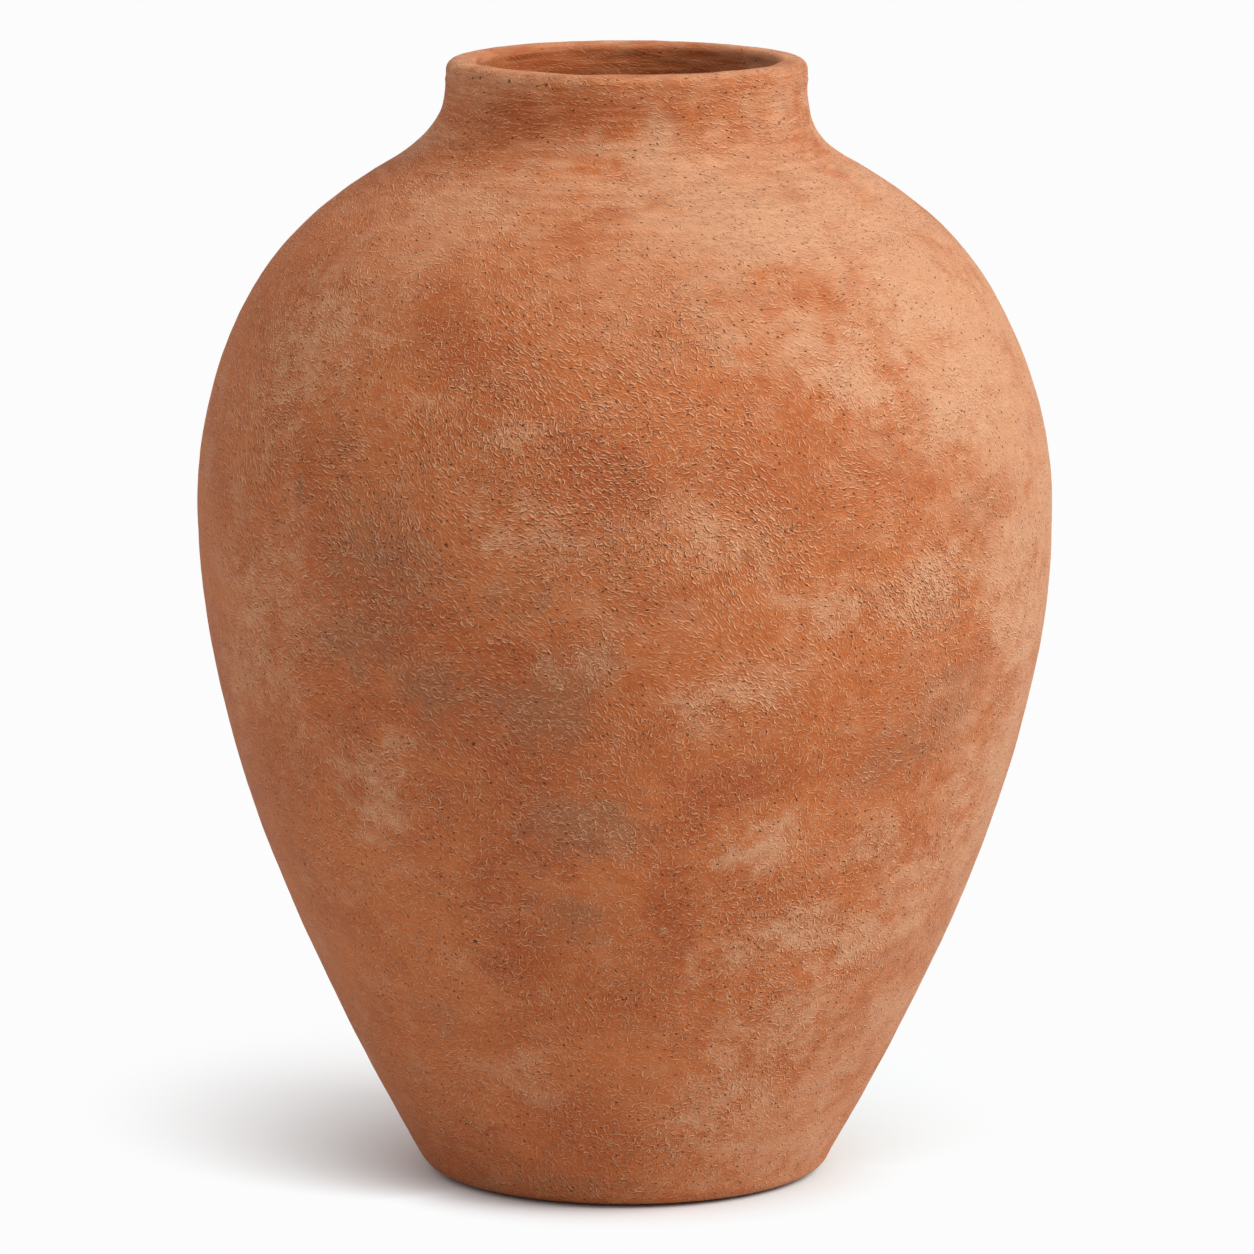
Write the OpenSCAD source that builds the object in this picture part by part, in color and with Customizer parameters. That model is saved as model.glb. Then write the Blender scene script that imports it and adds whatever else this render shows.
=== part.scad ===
// Tall round-bellied floor vase of unglazed terracotta, with a narrow foot and a short collar.
// It is raised in thrown sections: each section has a V tongue that keys into the groove
// of the section below, and a ring of slip fills the space between tongue and groove.
// The fired clay is lined inside up to the shoulder, and felt pads carry it off the floor.
// Millimetres, +Z up; the origin is on the floor, on the vase's axis.

/* [Foot] */
// Diameter that the side wall would reach at the underside if its edge were sharp
foot_d = 213; // [180:1:250]
// Lean of the side wall at the foot, in degrees from upright
foot_flare = 29; // [20:1:36]
// Radius of the rounded edge between the side wall and the underside
foot_edge_r = 14; // [6:1:18]
// Thickness of the slab that closes the bottom
floor_t = 22; // [18:1:30]

/* [Body] */
// Height of the widest point above the underside
belly_rise = 361; // [300:1:420]
// Diameter at the widest point
belly_d = 456.5; // [400:0.5:500]
// Height of the middle of the shoulder above the widest point
shoulder_rise = 101.5; // [80:0.5:120]
// Diameter at the middle of the shoulder
shoulder_d = 408; // [380:1:430]
// Lean of the wall at the middle of the shoulder, in degrees from upright
shoulder_lean = 26; // [18:1:36]
// Thickness of the clay wall
wall_t = 12; // [9:0.5:15]

/* [Neck and rim] */
// Height of the neck's root above the middle of the shoulder
neck_rise = 80.5; // [65:0.5:100]
// Diameter at the neck's root, where the wall turns from shoulder to neck
neck_d = 249; // [235:1:270]
// Lean of the wall at the neck's root, in degrees from upright
neck_lean = 60.5; // [50:0.5:65]
// Height of the lip's start above the neck's root
lip_rise = 48; // [40:0.5:60]
// Height of the upright lip
lip_h = 8; // [7:0.5:14]
// Diameter over the lip
rim_d = 192; // [176:1:206]
// Thickness of the clay at the lip
rim_t = 16; // [13:0.5:19]
// Radius of the lip's outer edge
rim_edge_r = 6; // [3:0.5:7]
// Radius of the lip's inner edge
mouth_edge_r = 4; // [2:0.5:5]
// Length of the straight bore below the rim
mouth_depth = 28; // [22:1:34]

/* [Seams between the sections] */
// Height of the seam between lower wall and belly above the underside
belly_seam_h = 160; // [120:1:260]
// Height of the seam between belly and shoulder above the widest point
shoulder_seam_h = 42; // [20:1:70]
// Depth of the seam between shoulder and neck below the neck's root
neck_seam_depth = 26; // [14:1:45]
// Depth of the seam under the coil that finishes the rim, below the lip's start
rim_seam_depth = 3; // [1:0.5:8]
// Height and width of the coil pressed into the inner corner at the floor
corner_leg = 16; // [8:1:24]
// Width of the V groove that keys one section into the next
groove_w = 6; // [4:0.5:7]
// Depth of the V groove
groove_depth = 4; // [2.5:0.5:5]
// Width of the slip on each side of the tongue, in the seam's plane
slip_t = 1; // [0.5:0.1:1.4]

/* [Lining] */
// Thickness of the sealing lining inside
lining_t = 1; // [0.6:0.1:2]

/* [Felt pads] */
// Number of pads
pad_count = 4; // [3:1:6]
// Diameter of a pad
pad_d = 34; // [24:1:44]
// Thickness of a pad
pad_t = 3; // [2.5:0.5:5]
// Depth of the seat that a pad is glued into
pad_seat = 2; // [1:0.5:2]
// Gap all round a pad in its seat
pad_gap = 0.3; // [0.1:0.1:0.6]
// Clay left between a pad's seat and the edge of the flat underside
pad_margin = 9; // [4:1:20]

/* [Hidden] */

clay_colour = "#bd744d";
slip_colour = "#a8623f";
lining_colour = "#8a4a2e";
felt_colour = "#6b5a4c";

// Segments along one section's wall, and round one rounded edge
wall_steps = 14;
edge_steps = 8;
$fn = 96;

// Steepest start of a curve that falls all the way, as a multiple of its mean slope
ease_limit = 2.6;

// Heights of the underside and of the profile's turning points, each stacked on the last
under_z = pad_t - pad_seat;
foot_z = under_z + foot_edge_r * (1 - sin(foot_flare));
belly_z = under_z + belly_rise;
shoulder_z = belly_z + shoulder_rise;
neck_z = shoulder_z + neck_rise;
lip_z = neck_z + lip_rise;
top_z = lip_z + lip_h;

// Heights of the seams and of the bore's lower end
base_seam_z = under_z + floor_t;
belly_seam_z = under_z + belly_seam_h;
shoulder_seam_z = belly_z + shoulder_seam_h;
neck_seam_z = neck_z - neck_seam_depth;
rim_seam_z = lip_z - rim_seam_depth;
bore_z = top_z - mouth_depth;
corner_top_z = base_seam_z + corner_leg;

rim_r = rim_d / 2;
mouth_r = rim_r - rim_t;
tongue_w = groove_w - 2 * slip_t;
tongue_depth = groove_depth * tongue_w / groove_w;

// The foot's rounded edge touches the underside at flat_r and runs into the wall at foot_z
flat_r = foot_d / 2 - foot_edge_r * (1 - sin(foot_flare)) / cos(foot_flare);
foot_r = flat_r + foot_edge_r * cos(foot_flare);
pad_ring_r = flat_r - pad_margin - pad_gap - pad_d / 2;

// Outer profile from foot to rim: height, radius and radius gained per unit of height
outer_knots = [
    [foot_z, foot_r, tan(foot_flare)],
    [belly_z, belly_d / 2, 0],
    [shoulder_z, shoulder_d / 2, -tan(shoulder_lean)],
    [neck_z, neck_d / 2, -tan(neck_lean)],
    [lip_z, rim_r, 0],
    [top_z, rim_r, 0]
];

// Cubic curve between two knots, and its slope
function curve(a, b, t) =
    let (h = b[0] - a[0])
    a[1] * (2 * t^3 - 3 * t^2 + 1) + a[2] * h * (t^3 - 2 * t^2 + t)
    + b[1] * (3 * t^2 - 2 * t^3) + b[2] * h * (t^3 - t^2);
function curve_slope(a, b, t) =
    (b[1] - a[1]) / (b[0] - a[0]) * 6 * (t - t^2)
    + a[2] * (3 * t^2 - 4 * t + 1) + b[2] * (3 * t^2 - 2 * t);
function share(a, b, z) = (z - a[0]) / (b[0] - a[0]);

// Index of the outer knot at or below a height
function knot_at(z, i = len(outer_knots) - 2) =
    i == 0 || z >= outer_knots[i][0] ? i : knot_at(z, i - 1);

// Outer radius and slope at a height
function outer_r(z) =
    let (i = knot_at(z), a = outer_knots[i], b = outer_knots[i + 1])
    curve(a, b, share(a, b, z));
function outer_slope(z) =
    let (i = knot_at(z), a = outer_knots[i], b = outer_knots[i + 1])
    curve_slope(a, b, share(a, b, z));

// Level distance through a skin of thickness t that follows the wall at a height
function level_t(t, z) = t * sqrt(1 + outer_slope(z)^2);

// Inner profile: parallel to the outer wall up to the neck's root, then a curve into the bore.
// The curve leaves the root with the wall's own lean, eased where the neck is too tight for it.
neck_inner_r = outer_r(neck_z) - level_t(wall_t, neck_z);
bore_rise = bore_z - neck_z;
most_slope = ease_limit * (neck_inner_r - mouth_r) / bore_rise;
inner_knots = [
    [neck_z, neck_inner_r, -min(tan(neck_lean), most_slope)],
    [bore_z, mouth_r, 0]
];
function inner_r(z) =
    z >= bore_z ? mouth_r
    : z > neck_z ? curve(inner_knots[0], inner_knots[1], share(inner_knots[0], inner_knots[1], z))
    : outer_r(z) - level_t(wall_t, z);

// Heights at even steps between two heights
function steps(z0, z1) = [for (i = [0 : wall_steps]) z0 + (z1 - z0) * i / wall_steps];
function reversed(v) = [for (i = [len(v) - 1 : -1 : 0]) v[i]];

lower_zs = concat([base_seam_z], steps(corner_top_z, belly_seam_z));
belly_zs = steps(belly_seam_z, shoulder_seam_z);
shoulder_zs = steps(shoulder_seam_z, neck_seam_z);
neck_outer_zs = steps(neck_seam_z, rim_seam_z);
neck_inner_zs = concat(steps(neck_seam_z, bore_z), [rim_seam_z]);

function outer_side(zs) = [for (z = zs) [outer_r(z), z]];
function inner_side(zs) = [for (z = zs) [inner_r(z), z]];

// Points of an arc round a centre, from one angle to another
function arc(c, r, a0, a1) =
    [for (i = [0 : edge_steps]) let (a = a0 + (a1 - a0) * i / edge_steps) c + r * [cos(a), sin(a)]];

// V in the middle of the wall at a seam, from the outside in
function key(z, w, depth) =
    let (m = (outer_r(z) + inner_r(z)) / 2)
    [[m + w / 2, z], [m, z - depth], [m - w / 2, z]];
function groove(z) = key(z, groove_w, groove_depth);
function tongue(z) = key(z, tongue_w, tongue_depth);

// Hollow of the inner corner, from the floor up to the wall, set in by a distance
function corner_hollow(inset) =
    let (set_in = level_t(inset, base_seam_z),
        a = [inner_r(base_seam_z) - corner_leg, base_seam_z + inset],
        b = [inner_r(base_seam_z) - set_in, base_seam_z + inset],
        c = [inner_r(corner_top_z) - level_t(inset, corner_top_z), corner_top_z])
    [for (i = [0 : edge_steps]) let (t = i / edge_steps) (1 - t)^2 * a + 2 * t * (1 - t) * b + t^2 * c];

// One section of wall, keyed into its neighbours by a groove above and a tongue below
module wall_section(outer_zs, inner_zs) {
    z0 = outer_zs[0];
    z1 = outer_zs[len(outer_zs) - 1];
    rotate_extrude()
        polygon(concat(outer_side(outer_zs), groove(z1), reversed(inner_side(inner_zs)), reversed(tongue(z0))));
}

// Slip that fills a seam's groove round the tongue
module slip_ring(z) {
    color(slip_colour)
        rotate_extrude()
            polygon(concat(groove(z), reversed(tongue(z))));
}

// Places that carry a pad
module at_pads() {
    for (i = [0 : pad_count - 1])
        rotate(360 * i / pad_count)
            translate([pad_ring_r, 0, 0])
                children();
}

module base_disc() {
    edge = arc([flat_r, under_z + foot_edge_r], foot_edge_r, -90, -foot_flare);
    side = outer_side(steps(foot_z, base_seam_z));
    color(clay_colour)
        difference() {
            rotate_extrude()
                polygon(concat([[0, under_z]], edge, [for (i = [1 : wall_steps]) side[i]],
                    groove(base_seam_z), [[0, base_seam_z]]));
            at_pads()
                cylinder(d = pad_d + 2 * pad_gap, h = pad_t);
        }
}

module corner_coil() {
    color(clay_colour)
        rotate_extrude()
            polygon(concat([[inner_r(base_seam_z), base_seam_z]], reversed(corner_hollow(0))));
}

module lower_wall() {
    color(clay_colour)
        wall_section(lower_zs, lower_zs);
}

module belly_wall() {
    color(clay_colour)
        wall_section(belly_zs, belly_zs);
}

module shoulder_wall() {
    color(clay_colour)
        wall_section(shoulder_zs, shoulder_zs);
}

module neck_collar() {
    color(clay_colour)
        wall_section(neck_outer_zs, neck_inner_zs);
}

module rim_coil() {
    outer_edge = arc([rim_r - rim_edge_r, top_z - rim_edge_r], rim_edge_r, 0, 90);
    inner_edge = arc([mouth_r + mouth_edge_r, top_z - mouth_edge_r], mouth_edge_r, 90, 180);
    color(clay_colour)
        rotate_extrude()
            polygon(concat(outer_side([rim_seam_z, lip_z]), outer_edge, inner_edge,
                inner_side([rim_seam_z]), reversed(tongue(rim_seam_z))));
}

module base_slip() {
    slip_ring(base_seam_z);
}

module belly_slip() {
    slip_ring(belly_seam_z);
}

module shoulder_slip() {
    slip_ring(shoulder_seam_z);
}

module neck_slip() {
    slip_ring(neck_seam_z);
}

module rim_slip() {
    slip_ring(rim_seam_z);
}

module inner_lining() {
    wall_zs = concat([for (i = [2 : len(lower_zs) - 1]) lower_zs[i]],
        [for (i = [1 : wall_steps]) belly_zs[i]], [for (i = [1 : wall_steps]) shoulder_zs[i]]);
    back = concat([[0, base_seam_z]], corner_hollow(0), inner_side(wall_zs));
    face = concat([[0, base_seam_z + lining_t]], corner_hollow(lining_t),
        [for (z = wall_zs) [inner_r(z) - level_t(lining_t, z), z]]);
    color(lining_colour)
        rotate_extrude()
            polygon(concat(back, reversed(face)));
}

module floor_pads() {
    color(felt_colour)
        at_pads()
            cylinder(d = pad_d, h = pad_t);
}

base_disc();
corner_coil();
lower_wall();
belly_wall();
shoulder_wall();
neck_collar();
rim_coil();
base_slip();
belly_slip();
shoulder_slip();
neck_slip();
rim_slip();
inner_lining();
floor_pads();
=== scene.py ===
"""Looks of a tall round-bellied floor vase of unglazed terracotta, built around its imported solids."""

import math

import bpy
import numpy as np
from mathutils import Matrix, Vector, geometry, noise


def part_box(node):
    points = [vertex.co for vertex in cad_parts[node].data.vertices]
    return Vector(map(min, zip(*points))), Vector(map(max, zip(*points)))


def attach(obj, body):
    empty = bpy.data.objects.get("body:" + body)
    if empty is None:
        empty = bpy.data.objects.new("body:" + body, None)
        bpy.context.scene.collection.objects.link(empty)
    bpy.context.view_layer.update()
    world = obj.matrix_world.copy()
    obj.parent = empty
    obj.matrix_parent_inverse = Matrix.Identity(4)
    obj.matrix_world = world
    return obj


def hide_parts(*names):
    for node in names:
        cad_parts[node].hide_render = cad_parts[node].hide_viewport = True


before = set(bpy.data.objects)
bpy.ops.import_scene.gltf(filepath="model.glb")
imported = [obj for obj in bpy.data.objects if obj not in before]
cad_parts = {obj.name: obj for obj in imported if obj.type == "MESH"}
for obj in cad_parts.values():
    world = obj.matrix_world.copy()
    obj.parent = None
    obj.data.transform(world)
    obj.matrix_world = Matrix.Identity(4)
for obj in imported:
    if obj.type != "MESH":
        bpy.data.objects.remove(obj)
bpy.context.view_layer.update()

MM = 0.001

# Steps that keep the noise of different seeds apart
NOISE_SHIFT = 17.31
CELL_SHIFT = (0.1, 0.07, 0.13)

# Heights and radii that the solids give, in millimetres
UNDER_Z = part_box("base_disc")[0].z / MM
BASE_SEAM_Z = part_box("base_slip")[1].z / MM
BELLY_SEAM_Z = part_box("belly_slip")[1].z / MM
SHOULDER_SEAM_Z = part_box("shoulder_slip")[1].z / MM
NECK_SEAM_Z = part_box("neck_slip")[1].z / MM
RIM_SEAM_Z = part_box("rim_slip")[1].z / MM
TOP_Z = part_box("rim_coil")[1].z / MM
BELLY_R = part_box("belly_wall")[1].x / MM
RIM_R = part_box("rim_coil")[1].x / MM
PAD_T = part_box("floor_pads")[1].z / MM

# Driving sizes of the profile, in millimetres and degrees, as in the solids
FOOT_D = 213
FOOT_FLARE = 29
FOOT_EDGE_R = 14
BELLY_RISE = 361
SHOULDER_RISE = 101.5
SHOULDER_D = 408
SHOULDER_LEAN = 26
NECK_RISE = 80.5
NECK_D = 249
NECK_LEAN = 60.5
LIP_H = 8
RIM_T = 16
RIM_EDGE_R = 6
MOUTH_EDGE_R = 4
MOUTH_DEPTH = 28
WALL_T = 12
EASE_LIMIT = 2.6

# Sizes of the seams, the corner coil, the lining and the felt pads, as in the solids
GROOVE_W = 6
GROOVE_DEPTH = 4
SLIP_T = 1
CORNER_LEG = 16
LINING_T = 1
PAD_COUNT = 4
PAD_D = 34
PAD_GAP = 0.3
PAD_MARGIN = 9
PAD_EDGE_R = 0.6

# Mesh steps: segments round the axis, and row spacing along the profile in millimetres
SEGMENTS = 640
BODY_STEP = 2.05
NECK_STEP = 1.2
RIM_STEP = 0.8
HIDDEN_STEP = 9
PAD_SEGMENTS = 48

# Points on the profile's lines, before any even spacing
LINE_POINTS = 600
ARC_POINTS = 60
HOLLOW_POINTS = 10
LINING_POINTS = 60

# How far the hand-thrown body leans in X, in millimetres, by height
LEAN_HEIGHTS = [0, 12, 100, 310, 395, 460, 525, 555, 573, 600]
LEAN_OFFSETS = [0, -1.0, -0.2, -0.1, -1.0, -2.0, -2.5, -2.9, -0.4, 0.4]

# Hand-worked relief: height of each kind in millimetres
SLOW_H = 0.5
QUICK_H = 0.28
COARSE_GRAIN_H = 0.11
FINE_GRAIN_H = 0.07
RING_H = 0.16
SMEAR_H = 0.55
BEAD_H = 0.35

# Size of each kind of relief in millimetres, one number or one for each axis
SLOW_SIZE = 95
QUICK_SIZE = (44, 44, 24)
COARSE_GRAIN_SIZE = 9
FINE_GRAIN_SIZE = 5.5
RING_SIZE = (260, 260, 8)
SMEAR_SIZE = (20, 20, 4.5)
BEAD_SIZE = (40, 40, 400)
BEAD_HALF = 1.3

# Share of the unevenness that the inside keeps, and how deep the inside begins, in rims
INSIDE_SHARE = 0.4
INSIDE_FROM = 0.6

# Heights between which the throwing rings come in, in millimetres
RINGS_FROM = 470
RINGS_FULL = 540

# Edges of the painted patches, in half sizes of a patch, and sizes of their raggedness in millimetres
EDGE_OUT = 1.5
EDGE_IN = 0.2
EDGE_BROAD = 36
EDGE_MIDDLE = (16, 16, 10)
EDGE_FINE = 7

# Pale bloom, and painted highlight on the lit right side: degrees from the front towards +X, height,
# half width, half height in mm, and strength
BLOOM_AND_HIGHLIGHT_PATCHES = [
    (36, 556, 40, 14, 0.5),
    (38, 524, 46, 22, 0.4),
    (66, 480, 90, 70, 0.3),
    (78, 320, 60, 120, 0.4),
    # Painted highlight where the key light's reflection falls on the shoulder
    (35, 456, 30, 26, 0.8),
    (48, 476, 40, 20, 0.48),
    (51, 430, 50, 22, 0.6),
    (44, 342, 31, 22, 0.7),
    (64, 330, 38, 42, 0.6),
    (28, 337, 31, 16, 0.6),
    (10, 378, 34, 23, 0.6),
    (-14, 377, 32, 21, 0.5),
    (10, 292, 23, 14, 0.55),
    (20, 304, 25, 11, 0.4),
    (21, 211, 25, 20, 0.85),
    (40, 208, 17, 14, 0.6),
    (29, 162, 27, 19, 0.8),
    (41, 152, 25, 17, 0.7),
    (16, 148, 21, 13, 0.4),
    (28, 106, 36, 25, 0.55),
    (20, 58, 36, 23, 0.5),
    (26, 30, 27, 12, 0.5),
    (-22, 78, 24, 15, 0.4),
    (-38, 240, 25, 27, 0.6),
    (-51, 470, 46, 31, 0.4),
    (-57, 430, 42, 32, 0.3),
    (-62, 300, 48, 46, 0.38),
    (-54, 340, 36, 26, 0.4),
    (-35, 540, 42, 14, 0.5),
    (-2, 545, 17, 9, 0.6),
    (-29, 440, 21, 13, 0.4),
    (-14, 427, 19, 10, 0.45),
    (-6, 312, 19, 13, 0.6),
    (-2, 222, 18, 14, 0.3),
    (60, 190, 44, 36, 0.45),
]

# Deeper, redder clay, listed the same way
RUST_PATCHES = [
    (-29, 473, 42, 22, 0.6),
    (-16, 460, 36, 18, 0.35),
    (-3, 411, 30, 28, 0.8),
    (-32, 348, 28, 28, 0.9),
    (-43, 395, 28, 38, 0.6),
    (-17, 312, 26, 16, 0.95),
    (-25, 322, 22, 14, 0.6),
    (-21, 190, 22, 36, 0.95),
    (-18, 148, 24, 24, 0.7),
    (15, 248, 28, 15, 0.85),
    (7, 172, 16, 32, 0.9),
    (-10, 203, 16, 14, 0.4),
    # These three rows under the lip are partly redder clay and partly painted shade under the lip on the
    # shaded left
    (-34, 579, 30, 15, 0.6),
    (-8, 583, 30, 11, 0.4),
    (-18, 574, 60, 22, 0.4),
    # These two rows are painted shade at the foot's lower left, where it meets the floor
    (-40, 30, 42, 18, 0.6),
    (-12, 45, 42, 32, 0.6),
    (18, 407, 22, 16, 0.5),
    (-18, 258, 26, 22, 0.7),
    (-30, 275, 28, 14, 0.5),
    (0, 130, 32, 22, 0.5),
    (-12, 262, 62, 56, 0.6),
    (6, 222, 34, 22, 0.6),
    (-6, 408, 70, 40, 0.3),
    (-26, 250, 60, 76, 0.45),
    (-44, 300, 50, 80, 0.3),
    (-16, 200, 30, 30, 0.4),
    (-28, 328, 30, 30, 0.3),
    (-41, 285, 34, 40, 0.35),
]

# Greyer, darker smudges, listed the same way
SMUDGE_PATCHES = [
    (-26, 294, 24, 18, 0.9),
    (-11, 286, 28, 19, 0.95),
    (-6, 310, 24, 14, 0.7),
    (-5, 226, 30, 19, 0.85),
    (-9, 174, 26, 17, 0.75),
    (-15, 345, 26, 14, 0.5),
    (54, 380, 32, 24, 0.6),
    (48, 272, 36, 28, 0.7),
    (38, 250, 28, 22, 0.6),
    (57, 293, 28, 26, 0.5),
    (-30, 363, 28, 21, 0.4),
    (-38, 318, 34, 14, 0.6),
    (2, 347, 22, 12, 0.4),
    (-36, 113, 22, 24, 0.4),
    (22, 292, 17, 21, 0.3),
    (-14, 268, 64, 64, 0.22),
    (-36, 355, 44, 64, 0.4),
    # Painted shade at the foot's lower left, where it meets the floor
    (-22, 14, 60, 14, 0.5),
    (-14, 205, 26, 30, 0.15),
    (-48, 394, 4, 9, 0.9),
    (-47, 387, 7, 6, 0.6),
    (-38, 372, 4, 4, 0.8),
    (-36, 363, 3, 6, 0.9),
    (-34, 358, 4, 5, 0.8),
    (-38, 301, 7, 6, 0.8),
    (16, 369, 6, 5, 0.7),
]

# Soft pale haze, mostly painted sheen and highlight on the lit right side, the shoulder's top, the rim's
# top and the grazing edges, partly pale bloom; listed the same way
HAZE_AND_SHEEN_PATCHES = [
    (74, 470, 160, 140, 0.7),
    (96, 310, 165, 230, 0.74),
    (78, 120, 110, 150, 0.42),
    (14, 522, 190, 46, 0.32),
    (34, 542, 64, 30, 0.6),
    (40, 40, 50, 50, 0.35),
    (-50, 455, 70, 60, 0.12),
    (14, 488, 70, 30, 0.2),
    (-40, 520, 60, 40, 0.25),
    (-64, 594, 70, 12, 0.55),
    (62, 592, 100, 14, 0.4),
    # Painted highlight along the rim's top
    (0, 601, 400, 5, 0.5),
]

# Rougher places, with deeper chaff marks and more pits, listed the same way
ROUGH_PATCHES = [
    (-6, 395, 90, 75, 0.8),
    (18, 367, 36, 24, 0.9),
    (44, 340, 42, 28, 0.8),
    (14, 292, 36, 20, 0.6),
    (-34, 385, 34, 36, 0.7),
    (27, 160, 44, 44, 0.6),
    (-20, 440, 50, 34, 0.5),
    (4, 485, 70, 24, 0.4),
    (-20, 250, 60, 50, 0.15),
    (22, 60, 50, 34, 0.4),
    (-55, 380, 70, 150, 0.4),
]

# The kinds of patch, with the seed of their edges and how ragged these are
PAINT = {
    "rust": (RUST_PATCHES, 41, 1.0),
    "smudge": (SMUDGE_PATCHES, 31, 0.4),
    "haze_and_sheen": (HAZE_AND_SHEEN_PATCHES, 61, 0.7),
    "bloom_and_highlight": (BLOOM_AND_HIGHLIGHT_PATCHES, 21, 1.0),
    "rough": (ROUGH_PATCHES, 51, 0.8),
}

# Patches strewn over the sides and the back, which the camera doesn't see
BACK_PATCHES = 36
BACK_AZIMUTHS = (92, 268)
BACK_HEIGHTS = (30, 560)
BACK_HALF_WIDTHS = (16, 46)
BACK_HALF_HEIGHTS = (10, 30)
BACK_STRENGTHS = (0.2, 0.65)

# Camera: distance in front of the axis, height, tilt from straight down, and lens
CAMERA_X = 0.0004
CAMERA_Y = -4.5508
CAMERA_Z = 1.0715
CAMERA_TILT = 80.309
CAMERA_LENS = 247.4
CAMERA_SENSOR = 36
CAMERA_REACH = 120

# Light: a broad soft key from the right and the front, and an even fill
KEY_AZIMUTH = 70
KEY_HEIGHT = 40
KEY_SPREAD = 36
KEY_STRENGTH = 2.5
FILL_STRENGTH = 0.34
TOP_STRENGTH = 0.96
WHITE = 0.975
FLOOR_WIDTH = 60
FLOOR_TONE = 0.74
FLOOR_SEEN = (0.86, 0.86, 0.86, 1)
# Floor colour on the lit side of the foot, cooler, which cancels the vase's reddish reflected light
# there: painted light
FLOOR_LIT = (0.79, 0.86, 0.865, 1)

# Metres from the foot to the white floor: beside it, more behind it, less on the lit side, and at least
FADE_SPAN = 0.17
FADE_BACK = 0.19
FADE_LIT = 0.1
FADE_LEAST = 0.06


def smooth(value, low, high):
    """0 at low, 1 at high, with an eased step between."""
    t = np.clip((value - low) / (high - low), 0, 1)
    return t * t * (3 - 2 * t)


def hermite(knots, z):
    """Radius and slope, at heights z, of the cubic curve through knots of height, radius and slope."""
    at = np.clip(np.searchsorted(knots[:, 0], z, side="right") - 1, 0, len(knots) - 2)
    za, ra, sa = knots[at].T
    zb, rb, sb = knots[at + 1].T
    h = zb - za
    t = (z - za) / h
    radius = (
        ra * (2 * t**3 - 3 * t**2 + 1)
        + sa * h * (t**3 - 2 * t**2 + t)
        + rb * (3 * t**2 - 2 * t**3)
        + sb * h * (t**3 - t**2)
    )
    slope = (rb - ra) / h * 6 * (t - t**2) + sa * (3 * t**2 - 4 * t + 1) + sb * (3 * t**2 - 2 * t)
    return radius, slope


def tan(degrees):
    return math.tan(math.radians(degrees))


def sin(degrees):
    return math.sin(math.radians(degrees))


def cos(degrees):
    return math.cos(math.radians(degrees))


# The profile's turning points
FOOT_Z = UNDER_Z + FOOT_EDGE_R * (1 - sin(FOOT_FLARE))
FLAT_R = FOOT_D / 2 - FOOT_EDGE_R * (1 - sin(FOOT_FLARE)) / cos(FOOT_FLARE)
FOOT_R = FLAT_R + FOOT_EDGE_R * cos(FOOT_FLARE)
BELLY_Z = UNDER_Z + BELLY_RISE
SHOULDER_Z = BELLY_Z + SHOULDER_RISE
NECK_Z = SHOULDER_Z + NECK_RISE
LIP_Z = TOP_Z - LIP_H
BORE_Z = TOP_Z - MOUTH_DEPTH
MOUTH_R = RIM_R - RIM_T
CORNER_TOP_Z = BASE_SEAM_Z + CORNER_LEG
PAD_RING_R = FLAT_R - PAD_MARGIN - PAD_GAP - PAD_D / 2
TONGUE_W = GROOVE_W - 2 * SLIP_T
TONGUE_DEPTH = GROOVE_DEPTH * TONGUE_W / GROOVE_W

OUTER_KNOTS = np.array([
    (FOOT_Z, FOOT_R, tan(FOOT_FLARE)),
    (BELLY_Z, BELLY_R, 0),
    (SHOULDER_Z, SHOULDER_D / 2, -tan(SHOULDER_LEAN)),
    (NECK_Z, NECK_D / 2, -tan(NECK_LEAN)),
    (LIP_Z, RIM_R, 0),
    (TOP_Z, RIM_R, 0),
])


def outer_r(z):
    return hermite(OUTER_KNOTS, np.atleast_1d(z))[0]


def skin_r(z, depth):
    """Radius of the surface that lies a depth inside the outer wall, measured square to it."""
    radius, slope = hermite(OUTER_KNOTS, np.atleast_1d(z))
    return radius - depth * np.sqrt(1 + slope**2)


NECK_INNER_R = skin_r(NECK_Z, WALL_T)[0]
MOST_SLOPE = EASE_LIMIT * (NECK_INNER_R - MOUTH_R) / (BORE_Z - NECK_Z)
INNER_KNOTS = np.array([
    (NECK_Z, NECK_INNER_R, -min(tan(NECK_LEAN), MOST_SLOPE)),
    (BORE_Z, MOUTH_R, 0),
])


def inner_r(z):
    """Inner radius: parallel to the outer wall up to the neck's root, then a curve into the bore."""
    z = np.atleast_1d(z)
    throat = hermite(INNER_KNOTS, z)[0]
    return np.where(z >= BORE_Z, MOUTH_R, np.where(z > NECK_Z, throat, skin_r(z, WALL_T)))


def wall_line(radius, z0, z1):
    """Dense points of a wall between two heights, as radius and height."""
    z = np.linspace(z0, z1, LINE_POINTS)
    return np.column_stack([radius(z), z])


def arc_line(centre, radius, start, end):
    turn = np.radians(np.linspace(start, end, ARC_POINTS))
    return np.column_stack([centre[0] + radius * np.cos(turn), centre[1] + radius * np.sin(turn)])


def resample(line, step):
    """The same line with points at even steps along it, both ends kept."""
    run = np.concatenate([[0], np.cumsum(np.hypot(*np.diff(line, axis=0).T))])
    at = np.linspace(0, run[-1], max(2, round(run[-1] / step) + 1))
    return np.column_stack([np.interp(at, run, line[:, 0]), np.interp(at, run, line[:, 1])])


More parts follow.
